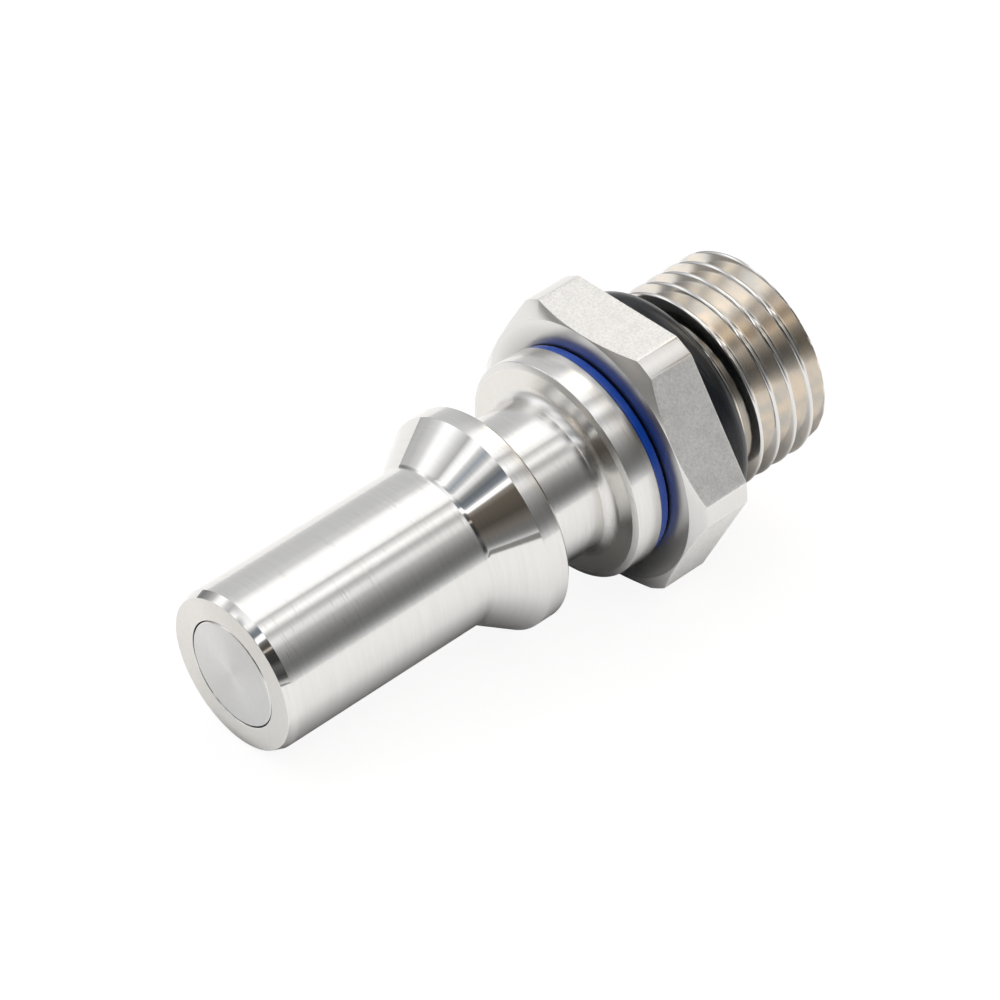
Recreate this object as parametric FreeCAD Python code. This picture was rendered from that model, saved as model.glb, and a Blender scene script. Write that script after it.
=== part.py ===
import FreeCAD, Part
import math
import os

# Liquid cooling quick coupling, plug half, with a flush-face valve and a G 1/4 port thread.
# Millimetres. The coupling's axis is X: the mating face is at x = 0, the port thread points to +X.
# One flat of the hex faces straight down, so +Z is up when the plug lies on it.

# Nose: the sealing cylinder that slides into the socket half
nose_radius = 5.05
nose_length = 15.1            # mating face to the foot of the cone
nose_chamfer_length = 0.58    # lead-in chamfer, along the axis
nose_chamfer_depth = 0.21     # and across it
nose_cone_fillet = 0.8
valve_bore_radius = 3.40
valve_land_length = 3.60      # straight bore that the poppet seals in

# Locking collar behind the cone
cone_length = 2.70
collar_radius = 6.88
collar_width = 1.48
collar_edge = 0.18            # broken edge behind the collar
collar_foot_fillet = 0.25

# Groove for the locking balls, and the shoulder that closes it
neck_radius = 4.90
neck_length = 5.00
neck_foot_fillet = 0.70
shoulder_radius = 7.02
shoulder_width = 1.97
shoulder_chamfer_length = 0.17     # steep front chamfer, along the axis
shoulder_chamfer_depth = 0.38      # and across it

# Seam between plug body and port adapter, with the coloured ring in it
ring_gap_width = 0.75
ring_side_clearance = 0.02
ring_crown_drop = 0.16        # how far the ring lies below the shoulder
ring_crown_round = 0.20
seam_radius = 6.35            # threaded spigot of the plug body, ring seat
seam_clearance = 0.05
seam_thread_length = 1.60     # part of the spigot that is inside the adapter
pilot_radius = 5.30           # smooth end of the spigot, carries the body seal
pilot_length = 1.00
seam_edge = 0.25

# Hexagon
hex_across_flats = 17.0
hex_width = 3.70
hex_corner_radius = 9.44      # corners are turned down to this
hex_face_radius = 8.45        # where the front chamfer starts
hex_chamfer_length = 0.55

# Port end: undercut with the seal, then the male thread G 1/4
undercut_radius = 5.20
undercut_length = 2.30
thread_radius = 6.5785
thread_length = 7.10
thread_run_in = 0.25          # chamfer at the seal side of the thread
thread_end_radius = 6.08
thread_end_chamfer = 0.35
port_seal_section = 2.40
port_seal_clearance = 0.04

# Flow path
chamber_radius = 4.00
flow_bore_radius = 3.90
flow_bore_edge = 0.40

# Poppet
poppet_bore_clearance = 0.07
poppet_head_length = 3.25
poppet_face_edge = 0.06
waist_radius = 2.35
lobe_count = 3
lobe_clearance = 0.06         # lobes run in the chamber
lobe_length = 2.00
lobe_flat_radius = 2.95       # distance of the milled flats from the axis
seat_clearance = 0.03         # stop cone to its seat, with the valve shut
boss_radius = 2.60            # centres the spring
boss_length = 1.10
stem_radius = 1.00
stem_foot_cone = 1.80
stem_setback = 0.10           # stem end inside the guide hub, valve shut
stem_end_edge = 0.30
poppet_seal_section = 1.00
poppet_seal_groove_x = 1.25   # front wall of the seal groove
poppet_seal_play = 0.04

# Valve guide, a spider clamped between plug body and adapter
guide_rim_radius = 4.60
guide_rim_clearance = 0.05
guide_rim_thickness = 1.20
guide_stand_off = 0.10        # rim stands proud of the spigot, so that the adapter clamps it
guide_window_radius = 3.15
guide_arm_count = 3
guide_arm_width = 1.10
guide_hub_radius = 1.75
guide_hub_length = 5.00       # reaches forward inside the spring
guide_hub_edge = 0.25
guide_stem_clearance = 0.04

# Valve spring
spring_wire = 0.70
spring_wire_sides = 8         # the round wire is drawn as a prism of the same section area
spring_outer_radius = 3.50
spring_turns = 8
spring_end_clearance = 0.03

# Places along the axis, worked out from the sizes above
collar_x = nose_length + cone_length
neck_x = collar_x + collar_width
shoulder_x = neck_x + neck_length
ring_x = shoulder_x + shoulder_width
hex_x = ring_x + ring_gap_width
seam_thread_end_x = hex_x + seam_thread_length
spigot_end_x = seam_thread_end_x + pilot_length
socket_floor_x = spigot_end_x + guide_stand_off
hex_rear_x = hex_x + hex_width
thread_x = hex_rear_x + undercut_length
end_x = thread_x + thread_length
guide_x = socket_floor_x - guide_rim_thickness
seat_slope = chamber_radius - valve_bore_radius
seat_end_x = valve_land_length + seat_slope
guide_hub_x = socket_floor_x - guide_hub_length

# Poppet places and radii, worked out with the valve shut
poppet_radius = valve_bore_radius - poppet_bore_clearance
lobe_radius = chamber_radius - lobe_clearance
lobe_cone_x = valve_land_length + seat_clearance * math.sqrt(2)
lobe_x = lobe_cone_x + lobe_radius - valve_bore_radius
lobe_end_x = lobe_x + lobe_length
boss_end_x = lobe_end_x + boss_length
stem_end_x = socket_floor_x - stem_setback

AXIS = FreeCAD.Vector(1, 0, 0)
ORIGIN = FreeCAD.Vector(0, 0, 0)


def at(x, radius):
    return FreeCAD.Vector(x, 0, radius)


def corner_arc(before, corner, after, fillet):
    """Arc of the given radius that rounds one corner of an outline, tangent to both its sides."""
    side_in = (before - corner).normalize()
    side_out = (after - corner).normalize()
    half_angle = side_in.getAngle(side_out) / 2
    reach = fillet / math.tan(half_angle)
    start = corner + side_in * reach
    end = corner + side_out * reach
    middle_way = (side_in + side_out).normalize()
    middle = corner + middle_way * (fillet / math.sin(half_angle) - fillet)
    return start, middle, end


def turned(outline):
    """Solid of revolution about the X axis. The outline is a closed ring of (x, radius) points.

    A third value on a point is the radius that rounds that corner.
    """
    corners = [at(point[0], point[1]) for point in outline]
    fillets = [point[2] if len(point) > 2 else 0 for point in outline]
    edges = []
    rounded = []
    for i, corner in enumerate(corners):
        after = corners[(i + 1) % len(corners)]
        if fillets[i]:
            rounded.append(corner_arc(corners[i - 1], corner, after, fillets[i]))
        else:
            rounded.append((corner, None, corner))
    for i, (start, middle, end) in enumerate(rounded):
        if middle:
            edges.append(Part.Arc(start, middle, end).toShape())
        next_start = rounded[(i + 1) % len(rounded)][0]
        edges.append(Part.LineSegment(end, next_start).toShape())
    return Part.Face(Part.Wire(edges)).revolve(ORIGIN, AXIS, 360)


def o_ring(x, inner_radius, section):
    return Part.makeTorus(inner_radius + section / 2, section / 2, at(x, 0), AXIS)


def hex_prism(x, width, across_flats):
    """Hexagonal bar along X, with a flat straight up and a flat straight down."""
    corner_radius = across_flats / math.sqrt(3)
    corners = []
    for i in range(7):
        angle = math.radians(60 * i)
        corners.append(FreeCAD.Vector(x, corner_radius * math.cos(angle), corner_radius * math.sin(angle)))
    return Part.Face(Part.makePolygon(corners)).extrude(AXIS * width)


def plug_body():
    return turned([
        (0, valve_bore_radius),
        (0, nose_radius - nose_chamfer_depth),
        (nose_chamfer_length, nose_radius),
        (nose_length, nose_radius, nose_cone_fillet),
        (collar_x, collar_radius),
        (neck_x - collar_edge, collar_radius),
        (neck_x, collar_radius - collar_edge),
        (neck_x, neck_radius, collar_foot_fillet),
        (shoulder_x, neck_radius, neck_foot_fillet),
        (shoulder_x, shoulder_radius - shoulder_chamfer_depth),
        (shoulder_x + shoulder_chamfer_length, shoulder_radius),
        (ring_x, shoulder_radius),
        (ring_x, seam_radius),
        (seam_thread_end_x - seam_edge, seam_radius),
        (seam_thread_end_x, seam_radius - seam_edge),
        (seam_thread_end_x, pilot_radius),
        (spigot_end_x, pilot_radius),
        (spigot_end_x, guide_rim_radius + guide_rim_clearance),
        (guide_x, guide_rim_radius + guide_rim_clearance),
        (guide_x, chamber_radius),
        (seat_end_x, chamber_radius),
        (valve_land_length, valve_bore_radius),
    ])


def port_adapter():
    blank = turned([
        (hex_x, 0),
        (hex_x, hex_face_radius),
        (hex_x + hex_chamfer_length, hex_corner_radius),
        (hex_rear_x, hex_corner_radius),
        (hex_rear_x, 0),
    ])
    hexagon = blank.common(hex_prism(hex_x, hex_width, hex_across_flats))
    tail = turned([
        (hex_rear_x, 0),
        (hex_rear_x, undercut_radius),
        (thread_x, undercut_radius),
        (thread_x + thread_run_in, thread_radius),
        (end_x - thread_end_chamfer, thread_radius),
        (end_x, thread_end_radius),
        (end_x, 0),
    ])
    socket_radius = seam_radius + seam_clearance
    bore = turned([
        (hex_x, 0),
        (hex_x, socket_radius + seam_edge),
        (hex_x + seam_edge, socket_radius),
        (socket_floor_x, socket_radius),
        (socket_floor_x, flow_bore_radius),
        (end_x - flow_bore_edge, flow_bore_radius),
        (end_x, flow_bore_radius + flow_bore_edge),
        (end_x, 0),
    ])
    return hexagon.fuse(tail).cut(bore).removeSplitter()


def colour_ring():
    front = ring_x + ring_side_clearance
    rear = hex_x - ring_side_clearance
    crown = shoulder_radius - ring_crown_drop
    return turned([
        (front, seam_radius + seam_clearance),
        (front, crown, ring_crown_round),
        (rear, crown, ring_crown_round),
        (rear, seam_radius + seam_clearance),
    ])


def body_seal():
    section = pilot_length + guide_stand_off - 2 * seam_clearance
    return o_ring((seam_thread_end_x + socket_floor_x) / 2, pilot_radius + seam_clearance, section)


def port_seal():
    x = hex_rear_x + port_seal_section / 2 + port_seal_clearance
    return o_ring(x, undercut_radius + port_seal_clearance, port_seal_section)


def poppet():
    groove_end_x = poppet_seal_groove_x + poppet_seal_section + 2 * poppet_seal_play
    groove_radius = valve_bore_radius - poppet_seal_section - 2 * poppet_seal_play
    core = turned([
        (0, 0),
        (0, poppet_radius - poppet_face_edge),
        (poppet_face_edge, poppet_radius),
        (poppet_seal_groove_x, poppet_radius),
        (poppet_seal_groove_x, groove_radius),
        (groove_end_x, groove_radius),
        (groove_end_x, poppet_radius),
        (poppet_head_length, poppet_radius),
        (poppet_head_length, waist_radius),
        (boss_end_x, waist_radius),
        (boss_end_x + stem_foot_cone, stem_radius),
        (stem_end_x - stem_end_edge, stem_radius),
        (stem_end_x, stem_radius - stem_end_edge),
        (stem_end_x, 0),
    ])
    flange = turned([
        (lobe_cone_x - (valve_bore_radius - waist_radius), waist_radius),
        (lobe_x, lobe_radius),
        (lobe_end_x, lobe_radius),
        (lobe_end_x, waist_radius),
    ])
    for i in range(lobe_count):
        flange = flange.cut(flow_flat(i))
    boss = turned([
        (lobe_end_x, 0),
        (lobe_end_x, boss_radius),
        (boss_end_x, boss_radius),
        (boss_end_x, 0),
    ])
    return core.fuse([flange, boss]).removeSplitter()


def flow_flat(i):
    """Block that mills one flow passage into the poppet's guide flange, between two lobes."""
    length = lobe_end_x - poppet_head_length
    width = 2 * chamber_radius
    depth = chamber_radius - lobe_flat_radius
    block = Part.makeBox(length, width, depth)
    block.translate(FreeCAD.Vector(poppet_head_length, -width / 2, lobe_flat_radius))
    block.rotate(ORIGIN, AXIS, 360 * i / lobe_count)
    return block


def poppet_seal():
    x = poppet_seal_groove_x + poppet_seal_play + poppet_seal_section / 2
    inner_radius = valve_bore_radius - poppet_seal_play - poppet_seal_section
    return o_ring(x, inner_radius, poppet_seal_section)


def valve_guide():
    rim = turned([
        (guide_x, guide_window_radius),
        (guide_x, guide_rim_radius),
        (socket_floor_x, guide_rim_radius),
        (socket_floor_x, guide_window_radius),
    ])
    hub = turned([
        (guide_hub_x, 0),
        (guide_hub_x, guide_hub_radius - guide_hub_edge),
        (guide_hub_x + guide_hub_edge, guide_hub_radius),
        (socket_floor_x, guide_hub_radius),
        (socket_floor_x, 0),
    ])
    arms = [guide_arm(i) for i in range(guide_arm_count)]
    stem_hole = Part.makeCylinder(stem_radius + guide_stem_clearance, guide_hub_length, at(guide_hub_x, 0), AXIS)
    return rim.fuse([hub] + arms).cut(stem_hole).removeSplitter()


def guide_arm(i):
    """Spoke from the hub into the middle of the rim; the first one points straight down."""
    reach = (guide_window_radius + guide_rim_radius) / 2
    arm = Part.makeBox(guide_rim_thickness, guide_arm_width, reach)
    arm.translate(FreeCAD.Vector(guide_x, -guide_arm_width / 2, 0))
    arm.rotate(ORIGIN, AXIS, 360 * i / guide_arm_count + 180)
    return arm


def valve_spring():
    first = lobe_end_x + spring_wire / 2 + spring_end_clearance
    last = guide_x - spring_wire / 2 - spring_end_clearance
    coil_radius = spring_outer_radius - spring_wire / 2
    helix = Part.makeLongHelix((last - first) / spring_turns, last - first, coil_radius)
    lay_along_x = FreeCAD.Rotation(FreeCAD.Vector(0, 0, 1), AXIS)
    helix.Placement = FreeCAD.Placement(FreeCAD.Vector(first, 0, 0), lay_along_x)
    return Part.Wire(helix.Edges).makePipeShell([spring_wire_section(helix.Edges[0])], True, True)


def spring_wire_section(helix_edge):
    """Regular polygon square to the helix at its first point, with the area of the round wire."""
    start = helix_edge.valueAt(helix_edge.FirstParameter)
    along = helix_edge.tangentAt(helix_edge.FirstParameter)
    outward = FreeCAD.Vector(0, start.y, start.z).normalize()
    sideways = along.cross(outward).normalize()
    step = 2 * math.pi / spring_wire_sides
    corner_radius = spring_wire / 2 * math.sqrt(step / math.sin(step))
    corners = []
    for i in range(spring_wire_sides + 1):
        turn = step * (i + 0.5)
        corners.append(start + (outward * math.cos(turn) + sideways * math.sin(turn)) * corner_radius)
    return Part.makePolygon(corners)


SUB_PARTS = {
    "plug_body": plug_body,
    "port_adapter": port_adapter,
    "colour_ring": colour_ring,
    "body_seal": body_seal,
    "port_seal": port_seal,
    "poppet": poppet,
    "poppet_seal": poppet_seal,
    "valve_guide": valve_guide,
    "valve_spring": valve_spring,
}

os.makedirs("parts", exist_ok=True)
for name, build in SUB_PARTS.items():
    shape = build()
    shape.exportStep("parts/" + name + ".step")
    box = shape.BoundBox
    print(f"{name:13s} valid {shape.isValid()} solids {len(shape.Solids)} volume {shape.Volume:8.2f}"
          f" x {box.XMin:6.2f} {box.XMax:6.2f} z {box.ZMin:6.2f} {box.ZMax:6.2f}")
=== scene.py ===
import math

import bmesh
import bpy
from mathutils import Matrix, Vector


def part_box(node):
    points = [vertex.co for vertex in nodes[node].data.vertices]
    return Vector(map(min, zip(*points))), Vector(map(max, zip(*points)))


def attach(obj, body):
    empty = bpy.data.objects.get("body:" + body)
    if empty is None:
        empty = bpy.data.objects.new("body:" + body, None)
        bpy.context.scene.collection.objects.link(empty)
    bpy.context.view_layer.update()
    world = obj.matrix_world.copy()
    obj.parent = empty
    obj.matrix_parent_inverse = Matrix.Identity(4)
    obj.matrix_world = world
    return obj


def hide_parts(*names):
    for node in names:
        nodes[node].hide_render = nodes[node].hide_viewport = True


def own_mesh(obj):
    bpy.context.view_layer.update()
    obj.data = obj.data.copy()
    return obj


# Plug half of a liquid cooling quick coupling. The frame's axis is X, its mating face is at x = 0.
# Sizes here are in millimetres and become metres in the meshes.

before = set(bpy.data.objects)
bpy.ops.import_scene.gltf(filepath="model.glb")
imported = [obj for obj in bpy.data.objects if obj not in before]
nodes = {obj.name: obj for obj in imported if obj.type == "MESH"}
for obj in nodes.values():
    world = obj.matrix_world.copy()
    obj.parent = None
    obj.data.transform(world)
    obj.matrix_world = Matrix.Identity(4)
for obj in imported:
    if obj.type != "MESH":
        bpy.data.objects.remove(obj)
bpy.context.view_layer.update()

MM = 0.001


def low(node, axis):
    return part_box(node)[0][axis] / MM


def high(node, axis):
    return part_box(node)[1][axis] / MM


# Sizes read from the frame
SPIGOT_END_X = high("plug_body", 0)
SHOULDER_RADIUS = high("plug_body", 2)
HEX_X = low("port_adapter", 0)
END_X = high("port_adapter", 0)
HEX_HALF_WIDTH = high("port_adapter", 2)
HEX_CORNER_RADIUS = high("port_adapter", 1)
RING_FRONT_X = low("colour_ring", 0)
RING_REAR_X = high("colour_ring", 0)
RING_CROWN_RADIUS = high("colour_ring", 2)
PORT_SEAL_X = (low("port_seal", 0) + high("port_seal", 0)) / 2
PORT_SEAL_SECTION = high("port_seal", 0) - low("port_seal", 0)
PORT_SEAL_RADIUS = high("port_seal", 2) - PORT_SEAL_SECTION / 2
STEM_END_X = high("poppet", 0)
LOBE_RADIUS = high("poppet", 2)
SOCKET_FLOOR_X = high("valve_guide", 0)
GUIDE_RIM_THICKNESS = 1.20
GUIDE_X = SOCKET_FLOOR_X - GUIDE_RIM_THICKNESS

# Plug body
NOSE_RADIUS = 5.05
NOSE_LENGTH = 15.1
NOSE_CHAMFER_LENGTH = 0.58
NOSE_CHAMFER_DEPTH = 0.21
NOSE_CONE_FILLET = 0.8
VALVE_BORE_RADIUS = 3.40
VALVE_LAND_LENGTH = 3.60
CHAMBER_RADIUS = 4.00
COLLAR_X = 17.8
COLLAR_RADIUS = 6.88
COLLAR_EDGE = 0.18
COLLAR_FOOT_FILLET = 0.25
NECK_X = 19.28
NECK_RADIUS = 4.90
NECK_FOOT_FILLET = 0.70
SHOULDER_X = 24.28
SHOULDER_CHAMFER_LENGTH = 0.17
SHOULDER_CHAMFER_DEPTH = 0.38
RING_X = 26.25
SEAM_RADIUS = 6.35
SEAM_EDGE = 0.25
SEAM_THREAD_END_X = 28.6
PILOT_RADIUS = 5.30
GUIDE_SEAT_RADIUS = 4.65

# Port adapter
SEAM_CLEARANCE = 0.05
SOCKET_RADIUS = SEAM_RADIUS + SEAM_CLEARANCE
HEX_FACE_RADIUS = 8.45
HEX_CHAMFER_LENGTH = 0.55
HEX_REAR_X = 30.7
UNDERCUT_RADIUS = 5.20
THREAD_X = 33.0
THREAD_RADIUS = 6.5785
THREAD_PITCH = 1.337
THREAD_CREST_X = 38.517         # a crest passes here, at THREAD_CREST_ANGLE
THREAD_CREST_ANGLE = 132.95     # degrees from +Y toward +Z
THREAD_HALF_ANGLE = 27.5
THREAD_CREST_ROUND = 0.14
THREAD_ROOT_ROUND = 0.15
THREAD_RUN_IN = 1.05
THREAD_END_CHAMFER = 0.35
THREAD_END_RADIUS = 6.08
FLOW_BORE_RADIUS = 3.90
FLOW_BORE_EDGE = 0.40

# Poppet
POPPET_RADIUS = 3.33
POPPET_FACE_EDGE = 0.06
POPPET_GROOVE_X = 1.25
POPPET_GROOVE_END_X = 2.33
POPPET_GROOVE_RADIUS = 2.32
POPPET_HEAD_LENGTH = 3.25
WAIST_RADIUS = 2.35
STOP_CONE_FOOT_RADIUS = 2.60
LOBE_X = 4.18
LOBE_END_X = 6.18
LOBE_FLAT_RADIUS = 2.95
LOBE_COUNT = 3
BOSS_RADIUS = 2.60
BOSS_END_X = 7.28
STEM_RADIUS = 1.00
STEM_FOOT_CONE = 1.80
STEM_END_EDGE = 0.30

# Valve spring
SPRING_WIRE = 0.70
SPRING_COIL_RADIUS = 3.15
SPRING_TURNS = 8
SPRING_FIRST_X = 6.56
SPRING_LAST_X = 28.12

# Edges and mesh fineness
EDGE_ROUND = 0.035              # broken edge of a turned corner
BORE_EDGE_ROUND = 0.05
SHOULDER_EDGE_ROUND = 0.07
HEX_REAR_EDGE_ROUND = 0.08
HEX_REAR_MARGIN = 0.20          # keeps the shading of the round edge off the flat rear face
RING_CROWN_ROUND = 0.20
HEX_CORNER_BLEND = 0.03         # width of the broken edge between a flat and a turned corner
HEX_EDGE_STEPS = (-0.4, -0.2, 0, 0.2, 0.4)      # finer steps round that edge, in degrees
HEX_EDGE_CLEAR = 0.3            # even steps keep this many degrees away from them
SHARP_ANGLE = 32                # degrees between faces, from which an edge is shaded sharp
AXIS_TOLERANCE = 1e-9           # metres
ARC_SHARE = 0.45                # an arc takes at most this share of a side next to it
ROUND_STEPS = 5
TURN_STEPS = 240
INNER_TURN_STEPS = 144
THREAD_ROWS = 236
SEAL_STEPS = 40
WIRE_STEPS = 16
COIL_STEPS = 48

# Camera, fitted to the photograph, its angles in degrees
CAMERA_AIM = (20.221, 0.107, 0.266)
CAMERA_DISTANCE = 314.95
CAMERA_AZIMUTH = -38.878        # about Z, from straight in front of the part at -Y
CAMERA_ELEVATION = 39.851
CAMERA_ROLL = -4.896
CAMERA_LENS = 198.0
CAMERA_SENSOR = 36.0


def make_camera():
    data = bpy.data.cameras.new("camera")
    data.lens = CAMERA_LENS
    data.sensor_width = CAMERA_SENSOR
    data.clip_start = 0.01
    data.clip_end = 10.0
    camera = bpy.data.objects.new("camera", data)
    around = Matrix.Rotation(math.radians(CAMERA_AZIMUTH), 4, "Z")
    tilt = Matrix.Rotation(math.radians(90 - CAMERA_ELEVATION), 4, "X")
    roll = Matrix.Rotation(math.radians(CAMERA_ROLL), 4, "Z")
    aim = Matrix.Translation(Vector(CAMERA_AIM) * MM)
    back = Matrix.Translation((0, 0, CAMERA_DISTANCE * MM))
    camera.matrix_world = aim @ around @ tilt @ roll @ back
    bpy.context.collection.objects.link(camera)
    bpy.context.scene.camera = camera


# Meshes

def rounded(corners):
    """Closed outline of (x, r) points. A corner's third value is the radius of an arc in its place.

    The arc is smaller where a side next to it is short.
    """
    points = []
    count = len(corners)
    for i, corner in enumerate(corners):
        here = Vector(corner[:2])
        if len(corner) < 3:
            points.append(here)
            continue
        before = Vector(corners[i - 1][:2]) - here
        after = Vector(corners[(i + 1) % count][:2]) - here
        half = before.angle(after) / 2
        reach = min(corner[2] / math.tan(half), ARC_SHARE * before.length, ARC_SHARE * after.length)
        radius = reach * math.tan(half)
        inward = (before.normalized() + after.normalized()).normalized()
        centre = here + inward * radius / math.sin(half)
        start = here + before.normalized() * reach - centre
        sweep = start.angle_signed(here + after.normalized() * reach - centre)
        for k in range(ROUND_STEPS + 1):
            spoke = start.copy()
            spoke.rotate(Matrix.Rotation(-sweep * k / ROUND_STEPS, 2))
            points.append(centre + spoke)
    return points


def even_turn(steps):
    return [360 * i / steps for i in range(steps)]


def lathe(name, outline_at, angles):
    """Closed mesh made of one closed outline at each angle, in degrees about X from +Y toward +Z."""
    rows = [outline_at(angle) for angle in angles]
    mesh = bmesh.new()
    grid = []
    for angle, row in zip(angles, rows):
        c = math.cos(math.radians(angle))
        s = math.sin(math.radians(angle))
        grid.append([mesh.verts.new((x * MM, r * c * MM, r * s * MM)) for x, r in row])
    width = len(rows[0])
    for i in range(len(grid)):
        this, following = grid[i], grid[(i + 1) % len(grid)]
        for j in range(width):
            k = (j + 1) % width
            mesh.faces.new((this[j], this[k], following[k], following[j]))
    return finish_mesh(name, mesh)


def finish_mesh(name, mesh):
    """Object from the mesh: its points on the axis merge, its faces turn outward, sharp edges stay."""
    axis_points = [v for v in mesh.verts if v.co.yz.length < AXIS_TOLERANCE]
    bmesh.ops.remove_doubles(mesh, verts=axis_points, dist=AXIS_TOLERANCE)
    bmesh.ops.recalc_face_normals(mesh, faces=mesh.faces)
    data = bpy.data.meshes.new(name)
    mesh.to_mesh(data)
    mesh.free()
    data.polygons.foreach_set("use_smooth", [True] * len(data.polygons))
    data.set_sharp_from_angle(angle=math.radians(SHARP_ANGLE))
    piece = bpy.data.objects.new(name, data)
    bpy.context.collection.objects.link(piece)
    weighted = piece.modifiers.new("weighted_normals", "WEIGHTED_NORMAL")
    weighted.keep_sharp = True
    return piece


def plug_body():
    outline = rounded([
        (0, VALVE_BORE_RADIUS, BORE_EDGE_ROUND),
        (0, NOSE_RADIUS - NOSE_CHAMFER_DEPTH, EDGE_ROUND),
        (NOSE_CHAMFER_LENGTH, NOSE_RADIUS, EDGE_ROUND),
        (NOSE_LENGTH, NOSE_RADIUS, NOSE_CONE_FILLET),
        (COLLAR_X, COLLAR_RADIUS, EDGE_ROUND),
        (NECK_X - COLLAR_EDGE, COLLAR_RADIUS, EDGE_ROUND),
        (NECK_X, COLLAR_RADIUS - COLLAR_EDGE, EDGE_ROUND),
        (NECK_X, NECK_RADIUS, COLLAR_FOOT_FILLET),
        (SHOULDER_X, NECK_RADIUS, NECK_FOOT_FILLET),
        (SHOULDER_X, SHOULDER_RADIUS - SHOULDER_CHAMFER_DEPTH, SHOULDER_EDGE_ROUND),
        (SHOULDER_X + SHOULDER_CHAMFER_LENGTH, SHOULDER_RADIUS, SHOULDER_EDGE_ROUND),
        (RING_X, SHOULDER_RADIUS, SHOULDER_EDGE_ROUND),
        (RING_X, SEAM_RADIUS),
        (SEAM_THREAD_END_X - SEAM_EDGE, SEAM_RADIUS),
        (SEAM_THREAD_END_X, SEAM_RADIUS - SEAM_EDGE),
        (SEAM_THREAD_END_X, PILOT_RADIUS),
        (SPIGOT_END_X, PILOT_RADIUS),
        (SPIGOT_END_X, GUIDE_SEAT_RADIUS),
        (GUIDE_X, GUIDE_SEAT_RADIUS),
        (GUIDE_X, CHAMBER_RADIUS, EDGE_ROUND),
        (VALVE_LAND_LENGTH + CHAMBER_RADIUS - VALVE_BORE_RADIUS, CHAMBER_RADIUS, EDGE_ROUND),
        (VALVE_LAND_LENGTH, VALVE_BORE_RADIUS, EDGE_ROUND),
    ])
    return lathe("plug_body_turned", lambda angle: outline, even_turn(TURN_STEPS))


def hex_radius(angle):
    """Distance of the hexagon's side from the axis, its corners turned down and their edges broken."""
    from_flat = (angle - 90 + 30) % 60 - 30
    flat = HEX_HALF_WIDTH / math.cos(math.radians(from_flat))
    overlap = max(HEX_CORNER_BLEND - abs(flat - HEX_CORNER_RADIUS), 0) / HEX_CORNER_BLEND
    return min(flat, HEX_CORNER_RADIUS) - overlap * overlap * HEX_CORNER_BLEND / 4


def hex_turn():
    """Even steps round the axis, with finer ones where a flat meets a turned corner."""
    edge = math.degrees(math.acos(HEX_HALF_WIDTH / HEX_CORNER_RADIUS))
    fine = []
    for side in range(6):
        for sign in (-1, 1):
            middle = (90 + 60 * side + sign * edge) % 360
            fine += [(middle + offset) % 360 for offset in HEX_EDGE_STEPS]
    far = [a for a in even_turn(TURN_STEPS) if min(abs(a - f) for f in fine) > HEX_EDGE_CLEAR]
    return sorted(far + fine)


def thread_radius(x, angle):
    """Radius of the rounded 55 degree thread, a right-hand one, before its ends are turned down."""
    crest = THREAD_CREST_X + THREAD_PITCH * (angle - THREAD_CREST_ANGLE) / 360
    away = abs((x - crest + THREAD_PITCH / 2) % THREAD_PITCH - THREAD_PITCH / 2)
    from_root = THREAD_PITCH / 2 - away
    flank = math.radians(THREAD_HALF_ANGLE)
    blunting = 1 / math.sin(flank) - 1
    sharp_crest = THREAD_RADIUS + THREAD_CREST_ROUND * blunting
    if away < THREAD_CREST_ROUND * math.cos(flank):
        return THREAD_RADIUS - THREAD_CREST_ROUND + math.sqrt(THREAD_CREST_ROUND ** 2 - away ** 2)
    if from_root < THREAD_ROOT_ROUND * math.cos(flank):
        root = sharp_crest - THREAD_PITCH / 2 / math.tan(flank) + THREAD_ROOT_ROUND * blunting
        return root + THREAD_ROOT_ROUND - math.sqrt(THREAD_ROOT_ROUND ** 2 - from_root ** 2)
    return sharp_crest - away / math.tan(flank)


def thread_row(angle):
    """Outline of the thread along the adapter at one angle, with its run-in and its chamfered end."""
    start_rise = THREAD_RADIUS - UNDERCUT_RADIUS
    end_drop = THREAD_RADIUS - THREAD_END_RADIUS
    row = []
    for i in range(THREAD_ROWS + 1):
        x = THREAD_X + (END_X - THREAD_X) * i / THREAD_ROWS
        run_in = UNDERCUT_RADIUS + start_rise * (x - THREAD_X) / THREAD_RUN_IN
        run_out = THREAD_END_RADIUS + end_drop * (END_X - x) / THREAD_END_CHAMFER
        row.append((x, min(run_in, run_out, thread_radius(x, angle))))
    return row


def port_adapter():
    face_edge = HEX_CORNER_RADIUS - HEX_FACE_RADIUS

    def outline_at(angle):
        side = hex_radius(angle)
        chamfer_x = HEX_X + HEX_CHAMFER_LENGTH * (side - HEX_FACE_RADIUS) / face_edge
        return rounded([
            (HEX_X, SOCKET_RADIUS + SEAM_EDGE, EDGE_ROUND),
            (HEX_X, HEX_FACE_RADIUS, EDGE_ROUND),
            (chamfer_x, side, EDGE_ROUND),
            (HEX_REAR_X, side, HEX_REAR_EDGE_ROUND),
            (HEX_REAR_X, side - HEX_REAR_MARGIN),
            (HEX_REAR_X, UNDERCUT_RADIUS, EDGE_ROUND),
            *thread_row(angle),
            (END_X, FLOW_BORE_RADIUS + FLOW_BORE_EDGE, EDGE_ROUND),
            (END_X - FLOW_BORE_EDGE, FLOW_BORE_RADIUS, EDGE_ROUND),
            (SOCKET_FLOOR_X, FLOW_BORE_RADIUS),
            (SOCKET_FLOOR_X, SOCKET_RADIUS),
            (HEX_X + SEAM_EDGE, SOCKET_RADIUS),
        ])

    return lathe("port_adapter_threaded", outline_at, hex_turn())


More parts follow.
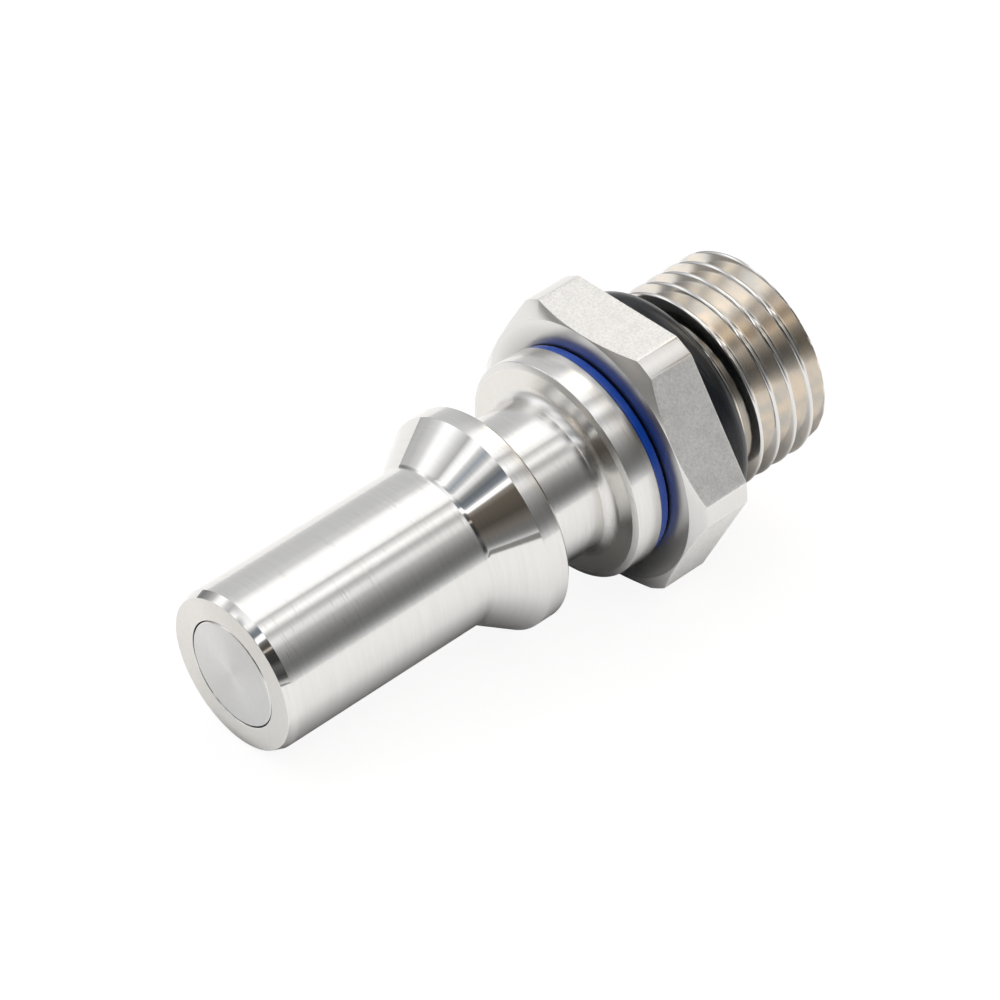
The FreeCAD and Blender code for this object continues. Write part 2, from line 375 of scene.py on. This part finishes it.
def colour_ring():
    outline = rounded([
        (RING_FRONT_X, SOCKET_RADIUS),
        (RING_FRONT_X, RING_CROWN_RADIUS, RING_CROWN_ROUND),
        (RING_REAR_X, RING_CROWN_RADIUS, RING_CROWN_ROUND),
        (RING_REAR_X, SOCKET_RADIUS),
    ])
    return lathe("colour_ring_moulded", lambda angle: outline, even_turn(TURN_STEPS))


def port_seal():
    outline = []
    for i in range(SEAL_STEPS):
        turn = 2 * math.pi * i / SEAL_STEPS
        outline.append((
            PORT_SEAL_X + PORT_SEAL_SECTION / 2 * math.cos(turn),
            PORT_SEAL_RADIUS + PORT_SEAL_SECTION / 2 * math.sin(turn),
        ))
    return lathe("port_seal_ring", lambda angle: outline, even_turn(TURN_STEPS))


def poppet():
    sector = 360 / LOBE_COUNT

    def outline_at(angle):
        from_flat = (angle - 90 + sector / 2) % sector - sector / 2
        flat = LOBE_FLAT_RADIUS / math.cos(math.radians(from_flat))
        lobe = min(LOBE_RADIUS, flat)
        cone_drop = LOBE_RADIUS - lobe
        return rounded([
            (0, 0),
            (0, POPPET_RADIUS - POPPET_FACE_EDGE, EDGE_ROUND),
            (POPPET_FACE_EDGE, POPPET_RADIUS, EDGE_ROUND),
            (POPPET_GROOVE_X, POPPET_RADIUS),
            (POPPET_GROOVE_X, POPPET_GROOVE_RADIUS),
            (POPPET_GROOVE_END_X, POPPET_GROOVE_RADIUS),
            (POPPET_GROOVE_END_X, POPPET_RADIUS),
            (POPPET_HEAD_LENGTH, POPPET_RADIUS, EDGE_ROUND),
            (POPPET_HEAD_LENGTH, STOP_CONE_FOOT_RADIUS),
            (LOBE_X - cone_drop, lobe, EDGE_ROUND),
            (LOBE_END_X, lobe, EDGE_ROUND),
            (LOBE_END_X, BOSS_RADIUS),
            (BOSS_END_X, BOSS_RADIUS, EDGE_ROUND),
            (BOSS_END_X, WAIST_RADIUS),
            (BOSS_END_X + STEM_FOOT_CONE, STEM_RADIUS),
            (STEM_END_X - STEM_END_EDGE, STEM_RADIUS, EDGE_ROUND),
            (STEM_END_X, STEM_RADIUS - STEM_END_EDGE, EDGE_ROUND),
            (STEM_END_X, 0),
        ])

    return lathe("poppet_turned", outline_at, even_turn(INNER_TURN_STEPS))


def valve_spring():
    """Round wire wound right-handed, its ends square to the wire."""
    mesh = bmesh.new()
    rings = []
    count = SPRING_TURNS * COIL_STEPS
    for i in range(count + 1):
        along = i / count
        turn = 2 * math.pi * SPRING_TURNS * along
        outward = Vector((0, math.cos(turn), math.sin(turn)))
        centre = outward * SPRING_COIL_RADIUS
        centre.x = SPRING_FIRST_X + (SPRING_LAST_X - SPRING_FIRST_X) * along
        ring = []
        for k in range(WIRE_STEPS):
            a = 2 * math.pi * k / WIRE_STEPS
            offset = outward * math.cos(a) + Vector((1, 0, 0)) * math.sin(a)
            ring.append(mesh.verts.new((centre + offset * SPRING_WIRE / 2) * MM))
        rings.append(ring)
    for this, following in zip(rings, rings[1:]):
        for k in range(WIRE_STEPS):
            m = (k + 1) % WIRE_STEPS
            mesh.faces.new((this[k], this[m], following[m], following[k]))
    mesh.faces.new(rings[0])
    mesh.faces.new(rings[-1])
    return finish_mesh("valve_spring_wound", mesh)


# Materials

STEEL = (0.775, 0.77, 0.76)
FACE_STEEL = (0.76, 0.745, 0.72)
FLAT_STEEL = (0.79, 0.79, 0.785)
THREAD_STEEL = (0.70, 0.685, 0.66)
# Tan reflections painted on the thread's flanks
THREAD_PAINTED_TAN = (0.82, 0.76, 0.68)
VALVE_FACE_STEEL = (0.69, 0.69, 0.69)
WIRE_STEEL = (0.62, 0.60, 0.57)
BLUE_DEEP = (0.006, 0.085, 0.58)
BLUE_LIGHT = (0.010, 0.105, 0.68)
# Painted shade on the sides of the blue ring
BLUE_SIDE_SHADE = (0.003, 0.010, 0.07)
RUBBER_BLACK = (0.005, 0.006, 0.009)
RUBBER_GREY = (0.018, 0.022, 0.029)

# How far a surface faces along the axis, from 0 to 1, where it begins to count as a chamfer or a
# face, and where it fully does
CHAMFER_FACING = (0.10, 0.30)
FACE_FACING = (0.90, 0.98)
BAR_FACE_FACING = (0.95, 0.99)

# Between which places one kind of surface passes into another
MATING_FACE_END = (0.5, 1.0)
NOSE_END = (COLLAR_X, COLLAR_X + 0.1)
REAR_START = (NECK_X - 0.1, NECK_X)
THREAD_START = (THREAD_X - 0.2, THREAD_X)
RUN_IN_SHADE_END = (THREAD_X + 0.6, THREAD_X + 1.1)
FLAT_START = (HEX_HALF_WIDTH - 0.03, HEX_HALF_WIDTH - 0.01)
CREST_START = (THREAD_RADIUS - THREAD_CREST_ROUND, THREAD_RADIUS - THREAD_CREST_ROUND / 2)
FLANK_START = (4.68, UNDERCUT_RADIUS)
FACE_PAINTED_SHADE = (RING_CROWN_RADIUS, 8.2)           # painted shade: the adapter's faces are darker toward the axis
RING_SIDE_SHADE_START = (0.50, 0.95)                  # painted shade on the ring's sides, as shares of the ring's half width

# What is added to the outside's roughness
REAR_ROUGHER = 0.03
FILLET_ROUGHER = 0.14
INNER_FACE_ROUGHER = 0.08

# Roughness of the adapter, the ring and the seals
BAR_TURNED_ROUGHNESS = 0.18
BAR_FACE_ROUGHNESS = 0.30
BAR_FLAT_ROUGHNESS = (0.42, 0.52)
FLANK_ROUGHNESS = 0.14
CREST_ROUGHNESS = 0.08
BLUE_ROUGHNESS = (0.14, 0.20)
RUBBER_ROUGHNESS = (0.20, 0.34)
CHAMFER_GROOVES = 0.15          # share of the grooves' depth that the bright chamfers keep
SAND_SHARE = 0.8                # the rest of the flats' speckle is cloud
AXIS_GUARD = 0.01               # least distance from the axis that the grooves' noise divides by

# Values of a noise that become the ends of a range. A closer pair gives more contrast.
NOISE_ENDS = (0.3, 0.7)
SHARP_NOISE_ENDS = (0.38, 0.62)
STREAK_ENDS = (0.35, 0.65)
SCRATCH_ENDS = (0.68, 0.74)


class Graph:
    """Short calls to add and link shader nodes."""

    def __init__(self, tree):
        self.tree = tree
        tree.nodes.clear()

    def add(self, kind, **inputs):
        node = self.tree.nodes.new("ShaderNode" + kind)
        for name, value in inputs.items():
            self.put(node, name.replace("_", " "), value)
        return node

    def fill(self, socket, value):
        """Gives a socket its value, or links it where the value is another node's output."""
        if isinstance(value, bpy.types.NodeSocket):
            self.tree.links.new(value, socket)
        else:
            socket.default_value = value

    def put(self, node, name, value):
        self.fill(node.inputs[name], value)

    def math(self, operation, *values, clamp=False):
        node = self.tree.nodes.new("ShaderNodeMath")
        node.operation = operation
        node.use_clamp = clamp
        for i, value in enumerate(values):
            self.fill(node.inputs[i], value)
        return node.outputs[0]

    def span(self, value, start, end, to_start, to_end, smooth=False):
        node = self.add("MapRange", From_Min=start, From_Max=end, To_Min=to_start, To_Max=to_end)
        node.interpolation_type = "SMOOTHSTEP" if smooth else "LINEAR"
        self.tree.links.new(value, node.inputs["Value"])
        return node.outputs["Result"]

    def noise(self, vector, scale, detail=2.0, roughness=0.5):
        node = self.add("TexNoise", Vector=vector, Scale=scale, Detail=detail, Roughness=roughness)
        return node.outputs["Fac"]

    def mix_colour(self, factor, first, second):
        node = self.tree.nodes.new("ShaderNodeMix")
        node.data_type = "RGBA"
        self.fill(node.inputs[0], factor)
        self.fill(node.inputs[6], first)
        self.fill(node.inputs[7], second)
        return node.outputs[2]

    def place(self):
        """Place on the part in mm: x, y, z and the distance from the axis."""
        parts = self.add("SeparateXYZ", Vector=self.add("TexCoord").outputs["Object"])
        x, y, z = (self.math("MULTIPLY", parts.outputs[axis], 1000) for axis in "XYZ")
        total = self.math("ADD", self.math("MULTIPLY", y, y), self.math("MULTIPLY", z, z))
        return x, y, z, self.math("MAXIMUM", self.math("SQRT", total), AXIS_GUARD)

    def grooves(self, place, fineness, turn_fineness, detail=2.0):
        """Noise in rings round the axis. It runs on along the outline from faces to cylinders."""
        x, y, z, radius = place
        vector = self.add(
            "CombineXYZ",
            X=self.math("MULTIPLY", self.math("ADD", x, radius), fineness),
            Y=self.math("MULTIPLY", self.math("DIVIDE", y, radius), turn_fineness),
            Z=self.math("MULTIPLY", self.math("DIVIDE", z, radius), turn_fineness),
        )
        return self.noise(vector.outputs[0], 1.0, detail, 0.6)

    def facing(self):
        """How far the surface faces along the axis: 0 on a cylinder, 1 on a flat face."""
        parts = self.add("SeparateXYZ", Vector=self.add("TexCoord").outputs["Normal"])
        return self.math("ABSOLUTE", parts.outputs["X"])

    def mix(self, factor, first, second):
        """Mix of two numbers."""
        change = self.math("SUBTRACT", second, first)
        return self.math("ADD", first, self.math("MULTIPLY", factor, change))


def scaled(colour, share):
    return (colour[0] * share, colour[1] * share, colour[2] * share, 1)


def new_material(name):
    material = bpy.data.materials.new(name)
    material.use_nodes = True
    graph = Graph(material.node_tree)
    shader = graph.add("BsdfPrincipled")
    out = graph.add("OutputMaterial")
    graph.tree.links.new(shader.outputs[0], out.inputs["Surface"])
    return material, graph, shader


def turned_steel(name, colour, face_colour, outside, chamfer, face):
    """Stainless steel off the lathe. The last three values are the roughness of its surfaces."""
    material, graph, shader = new_material(name)
    place = graph.place()
    x = place[0]
    fine = graph.grooves(place, 20, 0.8)
    coarse = graph.grooves(place, 5.0, 1.6, 3.0)
    brushed = graph.grooves(place, 7.0, 9.0)
    scratches = graph.span(graph.grooves(place, 9.0, 2.5, 1.0), *SCRATCH_ENDS, 0.0, 1.0)
    patches = graph.grooves(place, 0.5, 2.2, 3.0)
    facing = graph.facing()
    on_nose = graph.span(x, *NOSE_END, 1.0, 0.0)
    is_sloping = graph.span(facing, *CHAMFER_FACING, 0.0, 1.0, smooth=True)
    is_chamfer = graph.math("MULTIPLY", on_nose, is_sloping)
    is_face = graph.span(facing, *FACE_FACING, 0.0, 1.0, smooth=True)
    matte = graph.span(x, *MATING_FACE_END, face, outside + INNER_FACE_ROUGHER)
    on_rear = graph.span(x, *REAR_START, 0.0, 1.0)
    rougher = graph.span(facing, *CHAMFER_FACING, REAR_ROUGHER, FILLET_ROUGHER, smooth=True)
    cylinder = graph.math("ADD", outside, graph.math("MULTIPLY", on_rear, rougher))
    base = graph.mix(is_face, graph.mix(is_chamfer, cylinder, chamfer), matte)
    worn = graph.span(patches, *NOISE_ENDS, -0.015, 0.025)
    graph.put(shader, "Roughness", graph.math("ADD", base, worn, clamp=True))
    ringed = graph.span(coarse, *NOISE_ENDS, 0.0, 1.0)
    outside_colour = graph.mix_colour(ringed, scaled(colour, 0.95), scaled(colour, 1.0))
    mottle = graph.noise(graph.add("TexCoord").outputs["Object"], 2600, 3.0, 0.6)
    end_colour = graph.mix_colour(mottle, scaled(face_colour, 0.95), scaled(face_colour, 1.04))
    graph.put(shader, "Base Color", graph.mix_colour(is_face, outside_colour, end_colour))
    # The noises with their heights in mm
    height = 0.0
    for noise, depth in ((fine, 0.0003), (coarse, 0.0005), (brushed, 0.0022), (scratches, -0.0025)):
        height = graph.math("ADD", height, graph.math("MULTIPLY", noise, depth))
    unpolished = graph.span(is_chamfer, 0.0, 1.0, 1.0, CHAMFER_GROOVES)
    height = graph.math("MULTIPLY", height, unpolished)
    graph.put(shader, "Normal", graph.add("Bump", Distance=MM, Height=height).outputs[0])
    tangent = graph.tree.nodes.new("ShaderNodeTangent")
    tangent.direction_type = "RADIAL"
    tangent.axis = "X"
    graph.put(shader, "Tangent", tangent.outputs[0])
    graph.put(shader, "Metallic", 1.0)
    graph.put(shader, "Anisotropic", 0.7)
    graph.put(shader, "Anisotropic Rotation", 0.25)
    return material


def bar_steel():
    """Stainless hexagon bar: its flats keep the sandy skin of the bar, the rest is off the lathe."""
    material, graph, shader = new_material("hex_bar_steel")
    place = graph.place()
    x, y, z, radius = place
    reach = 0.0
    for turn in (90, 30, 150):
        across = graph.math("MULTIPLY", y, math.cos(math.radians(turn)))
        upward = graph.math("MULTIPLY", z, math.sin(math.radians(turn)))
        reach = graph.math("MAXIMUM", reach, graph.math("ABSOLUTE", graph.math("ADD", across, upward)))
    is_flat = graph.span(reach, *FLAT_START, 0.0, 1.0)
    is_face = graph.span(graph.facing(), *BAR_FACE_FACING, 0.0, 1.0, smooth=True)
    is_thread = graph.span(x, *THREAD_START, 0.0, 1.0)
    everywhere = graph.add("TexCoord").outputs["Object"]
    sand = graph.noise(everywhere, 6500, 2.0, 0.7)
    cloud = graph.noise(everywhere, 1300, 4.0, 0.6)
    rings = graph.grooves(place, 7.0, 1.2, 3.0)
    on_thread = graph.span(radius, *CREST_START, FLANK_ROUGHNESS, CREST_ROUGHNESS)
    lathed = graph.mix(is_thread, BAR_TURNED_ROUGHNESS, on_thread)
    lathed = graph.mix(is_face, lathed, BAR_FACE_ROUGHNESS)
    skin = graph.span(cloud, *NOISE_ENDS, *BAR_FLAT_ROUGHNESS)
    graph.put(shader, "Roughness", graph.mix(is_flat, lathed, skin))
    steel = graph.mix_colour(rings, scaled(STEEL, 0.93), scaled(STEEL, 1.0))
    # Painted shade: the adapter's faces darken toward the axis, by the ring and on the rear and end
    # faces.
    painted_face_shade = graph.math("MULTIPLY", is_face, graph.span(radius, *FACE_PAINTED_SHADE, 1.0, 0.0))
    steel = graph.mix_colour(painted_face_shade, steel, scaled(STEEL, 0.6))
    # Painted reflections: the thread's flanks are warm steel with tan blotches of reflected light.
    painted_tan_reflections = graph.span(graph.grooves(place, 0.7, 4.0, 1.5), *SHARP_NOISE_ENDS, 0.0, 1.0)
    flanks = graph.mix_colour(painted_tan_reflections, scaled(THREAD_STEEL, 1.0), scaled(THREAD_PAINTED_TAN, 1.0))
    is_flank = graph.span(radius, *CREST_START, 1.0, 0.0)
    is_flank = graph.math("MULTIPLY", is_flank, graph.span(radius, *FLANK_START, 0.0, 1.0))
    is_flank = graph.math("MULTIPLY", is_flank, graph.math("SUBTRACT", is_thread, is_face, clamp=True))
    steel = graph.mix_colour(is_flank, steel, flanks)
    # Painted shade: the thread's run-in, next to the seal ring, is darker.
    painted_run_in_shade = graph.math("MULTIPLY", is_thread, graph.span(x, *RUN_IN_SHADE_END, 1.0, 0.0))
    steel = graph.mix_colour(painted_run_in_shade, steel, scaled(THREAD_STEEL, 0.5))
    some_sand = graph.math("MULTIPLY", sand, SAND_SHARE)
    some_cloud = graph.math("MULTIPLY", cloud, 1 - SAND_SHARE)
    speckle = graph.span(graph.math("ADD", some_sand, some_cloud), *SHARP_NOISE_ENDS, 0.0, 1.0)
    flat_steel = graph.mix_colour(speckle, scaled(FLAT_STEEL, 1.03), scaled(FLAT_STEEL, 1.23))
    graph.put(shader, "Base Color", graph.mix_colour(is_flat, steel, flat_steel))
    # The noises times their heights in mm
    lathed_height = graph.math("MULTIPLY", rings, 0.0006)
    flat_height = graph.math("MULTIPLY", sand, 0.005)
    height = graph.mix(is_thread, graph.mix(is_flat, lathed_height, flat_height), 0.0)
    graph.put(shader, "Normal", graph.add("Bump", Distance=MM, Height=height).outputs[0])
    graph.put(shader, "Metallic", 1.0)
    return material


def plain_steel(name, colour, roughness):
    """Drawn wire with a slight grain."""
    material, graph, shader = new_material(name)
    grain = graph.noise(graph.add("TexCoord").outputs["Object"], 9000, 3.0, 0.6)
    graph.put(shader, "Base Color", graph.mix_colour(grain, scaled(colour, 0.9), scaled(colour, 1.0)))
    graph.put(shader, "Roughness", graph.span(grain, *NOISE_ENDS, roughness - 0.04, roughness + 0.05))
    graph.put(shader, "Metallic", 1.0)
    return material


def blue_plastic():
    """Glossy plastic, with shade painted on the sides of the ring, which face steel."""
    material, graph, shader = new_material("blue_plastic")
    cloud = graph.noise(graph.add("TexCoord").outputs["Object"], 900, 3.0, 0.6)
    crown = graph.mix_colour(cloud, scaled(BLUE_DEEP, 1.0), scaled(BLUE_LIGHT, 1.0))
    middle = (RING_FRONT_X + RING_REAR_X) / 2
    half = (RING_REAR_X - RING_FRONT_X) / 2
    aside = graph.math("ABSOLUTE", graph.math("SUBTRACT", graph.place()[0], middle))
    side_start, side_end = (share * half for share in RING_SIDE_SHADE_START)
    # Painted shade: the ring's sides are darker than its crown.
    painted_side_shade = graph.span(aside, side_start, side_end, 0.0, 1.0, smooth=True)
    graph.put(shader, "Base Color", graph.mix_colour(painted_side_shade, crown, scaled(BLUE_SIDE_SHADE, 1.0)))
    graph.put(shader, "Roughness", graph.span(cloud, *NOISE_ENDS, *BLUE_ROUGHNESS))
    graph.put(shader, "IOR", 1.5)
    return material


def black_rubber():
    """Moulded rubber with faint marks that run round the ring."""
    material, graph, shader = new_material("black_rubber")
    streaks = graph.grooves(graph.place(), 2.2, 1.8, 3.0)
    streaks = graph.span(streaks, *STREAK_ENDS, 0.0, 1.0)
    colour = graph.mix_colour(streaks, scaled(RUBBER_BLACK, 1.0), scaled(RUBBER_GREY, 1.0))
    graph.put(shader, "Base Color", colour)
    graph.put(shader, "Roughness", graph.span(streaks, 0.0, 1.0, *RUBBER_ROUGHNESS))
    graph.put(shader, "Normal", graph.add("Bump", Distance=0.02 * MM, Height=streaks).outputs[0])
    graph.put(shader, "Specular IOR Level", 0.35)
    graph.put(shader, "IOR", 1.5)
    return material


# Studio

FLOOR_SIZE = 3.0                # metres

# Places that touch the floor, as x and z
NOSE_REST = (NOSE_CHAMFER_LENGTH, -NOSE_RADIUS)
HEX_REST = (27.05, -HEX_HALF_WIDTH)

# The part's shadow in what the metal sees of the floor, in mm
SHADOW_CORE = 2.0
SHADOW_EDGE = 10.5
BEFORE_NOSE_SCALE = 16.0        # the shadow ends this many times sooner before the nose
PAST_THREAD_SCALE = 2.0         # and this many times sooner past the thread
HEX_SHADOW_START = (COLLAR_X, SHOULDER_X)
HEX_SHADOW_END = (HEX_REAR_X, THREAD_X + 3)
HEX_SHADOW_SIDE = (3.0, 6.5)
FAR_PAPER_START = (-50.0, -25.0)                # well before the nose, the metal sees darker paper

# Grey of the paper, and its glow where it has one
PAPER_GREY = 0.82
PAPER_GLOW = 0.43
SHADOW_GREY = 0.70
HEX_SHADOW_GREY = 0.28
FAR_GREY = 0.35
CAMERA_GREY = 0.18
CAMERA_GLOW = 0.90


def floor_material():
    """White paper with a clear back. The camera sees it nearly evenly white.

    The metal sees it glow, but dark below the part.
    """
    material = bpy.data.materials.new("floor_paper")
    material.use_nodes = True
    graph = Graph(material.node_tree)
    path = graph.add("LightPath")
    mirrored = graph.math(
        "ADD", path.outputs["Is Glossy Ray"], path.outputs["Is Transmission Ray"], clamp=True,
    )

    def paper(grey, glow=0.0):
        diffuse = graph.add("BsdfDiffuse", Color=scaled((grey, grey, grey), 1.0))
        glowing = graph.add("Emission", Color=(1, 1, 1, 1), Strength=glow)
        lit = graph.add("AddShader")
        graph.tree.links.new(diffuse.outputs[0], lit.inputs[0])
        graph.tree.links.new(glowing.outputs[0], lit.inputs[1])
        return lit.outputs[0]

    def mixed(factor, first, second):
        mix = graph.add("MixShader", Fac=factor)
        graph.tree.links.new(first, mix.inputs[1])
        graph.tree.links.new(second, mix.inputs[2])
        return mix.outputs[0]

    x, y = graph.place()[:2]
    before = graph.math("MULTIPLY", graph.math("MINIMUM", x, 0.0), BEFORE_NOSE_SCALE)
    beyond = graph.math("MAXIMUM", graph.math("SUBTRACT", x, END_X), 0.0)
    beyond = graph.math("MULTIPLY", beyond, PAST_THREAD_SCALE)
    total = 0.0
    for distance in (y, before, beyond):
        total = graph.math("ADD", total, graph.math("MULTIPLY", distance, distance))
    clear = graph.span(graph.math("SQRT", total), SHADOW_CORE, SHADOW_EDGE, 0.0, 1.0, smooth=True)
    from_front = graph.span(x, *HEX_SHADOW_START, 0.0, 1.0, smooth=True)
    from_rear = graph.span(x, *HEX_SHADOW_END, 1.0, 0.0, smooth=True)
    from_side = graph.span(graph.math("ABSOLUTE", y), *HEX_SHADOW_SIDE, 1.0, 0.0, smooth=True)
    under_hex = graph.math("MULTIPLY", graph.math("MULTIPLY", from_front, from_rear), from_side)
    shadow = mixed(under_hex, paper(SHADOW_GREY), paper(HEX_SHADOW_GREY))
    glow = graph.math("MULTIPLY", mirrored, PAPER_GLOW)
    in_metal = mixed(clear, shadow, paper(PAPER_GREY, glow))
    is_far = graph.span(x, *FAR_PAPER_START, 1.0, 0.0, smooth=True)
    in_metal = mixed(graph.math("MULTIPLY", mirrored, is_far), in_metal, paper(FAR_GREY))
    front = mixed(path.outputs["Is Camera Ray"], in_metal, paper(CAMERA_GREY, CAMERA_GLOW))
    back = graph.add("BsdfTransparent").outputs[0]
    both = mixed(graph.add("NewGeometry").outputs["Backfacing"], front, back)
    out = graph.add("OutputMaterial")
    graph.tree.links.new(both, out.inputs["Surface"])
    return material


def make_floor():
    """Plane that the resting plug touches with its nose tip and its hexagon."""
    slope = (HEX_REST[1] - NOSE_REST[1]) / (HEX_REST[0] - NOSE_REST[0])
    half = FLOOR_SIZE / 2
    start_z = (NOSE_REST[1] - slope * NOSE_REST[0]) * MM
    outline = ((-half, -half), (half, -half), (half, half), (-half, half))
    corners = [(x, y, start_z + slope * x) for x, y in outline]
    data = bpy.data.meshes.new("floor")
    data.from_pydata(corners, [], [(0, 1, 2, 3)])
    data.materials.append(floor_material())
    floor = bpy.data.objects.new("floor", data)
    bpy.context.collection.objects.link(floor)


# Studio walls with strip lights and dark flags, which turned surfaces show as lengthwise bands.
# A row holds an angle about the X axis in degrees, from straight up toward the front, the
# brightness there, and how warm it is where it isn't neutral. The rows follow readings of the
# photograph's brightness, turned into light and then corrected.
SIDE_WALL = [
    (-128, 1.40), (-116, 1.10), (-104, 0.88), (-80, 0.68), (-54, 0.70), (-46, 0.80), (-40, 0.82),
    (-35, 1.15), (-28, 1.40), (-4, 1.40), (2, 1.30), (5, 0.50), (8, 0.90), (11, 1.05), (16, 1.50),
    (20, 1.20), (25, 0.58), (30, 0.72), (35, 1.10), (41, 0.95), (46, 0.60), (54, 0.40), (60, 0.28),
    (71, 0.19), (79, 0.22), (85, 0.38), (89, 0.60), (96, 1.0),
]
NEAR_WALL = [
    (-122, 1.05), (-104, 0.85), (-95, 0.40), (-84, 0.25), (-72, 0.40), (-62, 0.65), (-54, 1.30),
    (-46, 1.35), (-39, 0.75), (-31, 0.62), (-18, 1.05), (4, 1.30), (8, 0.70), (12, 0.30, -1),
    (19, 0.24, -1), (22, 1.9), (26, 1.9), (29, 0.22), (35, 0.09, 1), (39, 0.10, 1), (41, 0.80, 1),
    (43, 0.08, 1), (48, 0.05), (58, 0.045), (65, 0.14), (77, 0.06), (82, 0.12), (86, 0.60),
    (91, 0.95),
]
FAR_WALL = [
    (-112, 1.0), (-104, 0.85), (-88, 0.66), (-79, 0.62), (-66, 0.85), (-57, 1.45), (-48, 1.30),
    (-38, 0.82), (-31, 0.55), (-26, 1.20), (-19, 1.50), (-15, 0.75), (-9, 0.44, -1), (-4, 0.64),
    (0, 1.20), (5, 0.90), (9, 0.35), (15, 0.18, -1), (21, 0.28, -1), (24, 0.70), (26, 1.9),
    (28, 1.9), (31, 0.30, 1), (37, 0.13, 1.5), (56, 0.08, 1.5), (67, 0.17, 1), (77, 0.20),
    (81, 0.30), (86, 0.85), (91, 1.10),
]
END_WALL = [
    (-110, 1.0), (-88, 0.85), (-70, 0.45), (-58, 0.34), (-48, 0.34), (-40, 0.60), (-31, 2.20, 1.3),
    (-22, 2.50, 1.3), (-12, 2.40, 1.3), (-5, 0.70, 1.3), (3, 0.50, 1.3), (9, 0.60, 1.3),
    (15, 0.85, 1.3), (21, 0.50, 1.3), (28, 0.30, 1.3), (34, 0.40, 1.3), (40, 0.75, 1.3),
    (46, 0.44, 1), (54, 0.26, 1), (66, 0.12, 1), (77, 0.17), (87, 0.35), (100, 0.65),
]
WALL_RANGE = 2.5                # brightness that a wall's colours are kept as shares of
WARM_RED = 0.10
WARM_BLUE = -0.12

# Sideways part of a direction, where one wall passes into the next. Two seams lean with the
# angle, up to LEAN_END degrees.
FAR_SEAM = (-0.34, -0.22)
FAR_SEAM_LEAN = 0.0033
NEAR_SEAM = (0.11, 0.27)
NEAR_SEAM_LEAN = 0.0015
LEAN_END = 43.0
END_SEAM = (0.50, 0.58)
DIM_START = (-0.64, -0.80)      # toward the nose's end, the walls are dimmer
DIM_SHADE = (0.36, 0.345, 0.325)


def wall_ramp(graph, angle, wall):
    ramp = graph.add("ValToRGB", Fac=graph.span(angle, -180, 180, 0.0, 1.0))
    elements = ramp.color_ramp.elements
    for i, (at_angle, brightness, *warmth) in enumerate(wall):
        element = elements[i] if i < 2 else elements.new(1.0)
        element.position = (at_angle + 180) / 360
        level = brightness / WALL_RANGE
        warm = warmth[0] if warmth else 0.0
        element.color = (level * (1 + WARM_RED * warm), level, level * (1 + WARM_BLUE * warm), 1)
    return ramp.outputs[0]


def make_world():
    """The studio walls for the metal, plain white for the camera."""
    world = bpy.data.worlds.new("studio")
    bpy.context.scene.world = world
    world.use_nodes = True
    graph = Graph(world.node_tree)
    parts = graph.add("SeparateXYZ", Vector=graph.add("TexCoord").outputs["Generated"])
    sideways = parts.outputs["X"]
    forward = graph.math("MULTIPLY", parts.outputs["Y"], -1)
    angle = graph.math("DEGREES", graph.math("ARCTAN2", forward, parts.outputs["Z"]))
    lowered = graph.math("MINIMUM", angle, LEAN_END)
    past_far = graph.math("ADD", sideways, graph.math("MULTIPLY", lowered, FAR_SEAM_LEAN))
    past_far = graph.span(past_far, *FAR_SEAM, 0.0, 1.0, smooth=True)
    past_near = graph.math("ADD", sideways, graph.math("MULTIPLY", lowered, NEAR_SEAM_LEAN))
    past_near = graph.span(past_near, *NEAR_SEAM, 0.0, 1.0, smooth=True)
    past_side = graph.span(sideways, *END_SEAM, 0.0, 1.0, smooth=True)
    walls = wall_ramp(graph, angle, FAR_WALL)
    walls = graph.mix_colour(past_far, walls, wall_ramp(graph, angle, NEAR_WALL))
    walls = graph.mix_colour(past_near, walls, wall_ramp(graph, angle, SIDE_WALL))
    walls = graph.mix_colour(past_side, walls, wall_ramp(graph, angle, END_WALL))
    is_dim = graph.span(sideways, *DIM_START, 0.0, 1.0, smooth=True)
    shade = graph.mix_colour(is_dim, (1, 1, 1, 1), scaled(DIM_SHADE, 1.0))
    tint = graph.tree.nodes.new("ShaderNodeVectorMath")
    tint.operation = "MULTIPLY"
    graph.tree.links.new(walls, tint.inputs[0])
    graph.tree.links.new(shade, tint.inputs[1])
    studio = graph.add("Background", Color=tint.outputs[0], Strength=WALL_RANGE)
    plain = graph.add("Background", Color=(1, 1, 1, 1), Strength=1.0)
    mixed = graph.add("MixShader", Fac=graph.add("LightPath").outputs["Is Camera Ray"])
    graph.tree.links.new(studio.outputs[0], mixed.inputs[1])
    graph.tree.links.new(plain.outputs[0], mixed.inputs[2])
    out = graph.add("OutputWorld")
    graph.tree.links.new(mixed.outputs[0], out.inputs["Surface"])


def dress(piece, material, body, slot, *replaced):
    piece.data.materials.clear()
    piece.data.materials.append(material)
    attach(piece, body)
    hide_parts(*replaced)


turned = turned_steel("turned_steel", STEEL, FACE_STEEL, outside=0.14, chamfer=0.065, face=0.42)
adapter_steel = bar_steel()
valve_steel = turned_steel(
    "valve_steel", STEEL, VALVE_FACE_STEEL, outside=0.22, chamfer=0.20, face=0.45,
)
spring_steel = plain_steel("spring_steel", WIRE_STEEL, roughness=0.28)
blue = blue_plastic()
rubber = black_rubber()

make_camera()
make_floor()
make_world()

dress(plug_body(), turned, "plug", "turned_steel", "plug_body")
dress(port_adapter(), adapter_steel, "plug", "hex_bar_steel", "port_adapter")
dress(colour_ring(), blue, "plug", "blue_plastic", "colour_ring")
dress(port_seal(), rubber, "plug", "black_rubber", "port_seal")
dress(poppet(), valve_steel, "valve", "valve_steel", "poppet")
spring = valve_spring()
dress(spring, spring_steel, "plug", "spring_steel", "valve_spring")
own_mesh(spring)

for node, material in (("valve_guide", valve_steel), ("body_seal", rubber), ("poppet_seal", rubber)):
    nodes[node].data.materials.clear()
    nodes[node].data.materials.append(material)

bpy.context.scene.view_settings.view_transform = "Standard"
